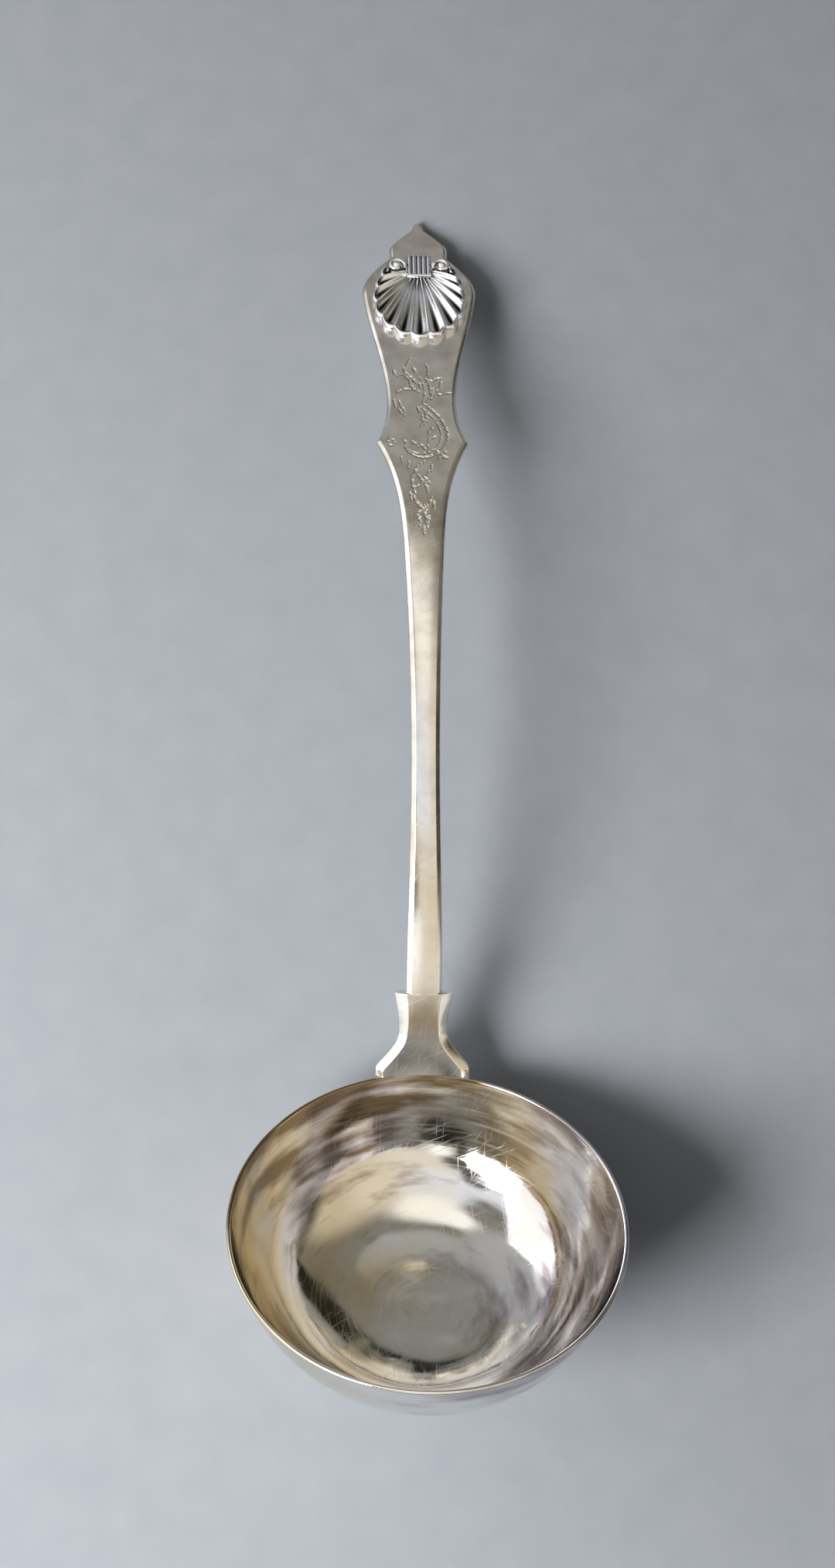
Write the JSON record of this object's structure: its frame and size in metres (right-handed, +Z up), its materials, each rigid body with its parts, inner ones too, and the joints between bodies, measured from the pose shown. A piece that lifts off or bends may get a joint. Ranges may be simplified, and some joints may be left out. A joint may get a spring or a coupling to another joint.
{
  "type": "soup ladle",
  "caption": "Soup ladle with a deep round bowl and a long arched handle that ends in a scallop shell below a pointed finial. It lies on its bowl and on the handle's tip.",
  "frame": {"origin": "on the table under the middle of the ladle's box", "axes": "+Y along the handle towards its tip, +Z up from the table, X across the bowl"},
  "size_m": [0.104, 0.3562, 0.0785],
  "materials": {
    "bowl_silver": "old polished silver, worn and faintly tarnished",
    "handle_silver": "old polished silver with fine scratches",
    "shell_silver": "cast silver, bright on its ridges and dark in its hollows"
  },
  "bodies": {
    "root": {"bowl": "bowl_silver", "handle": "handle_silver", "shell": "shell_silver"}
  },
  "joints": []
}
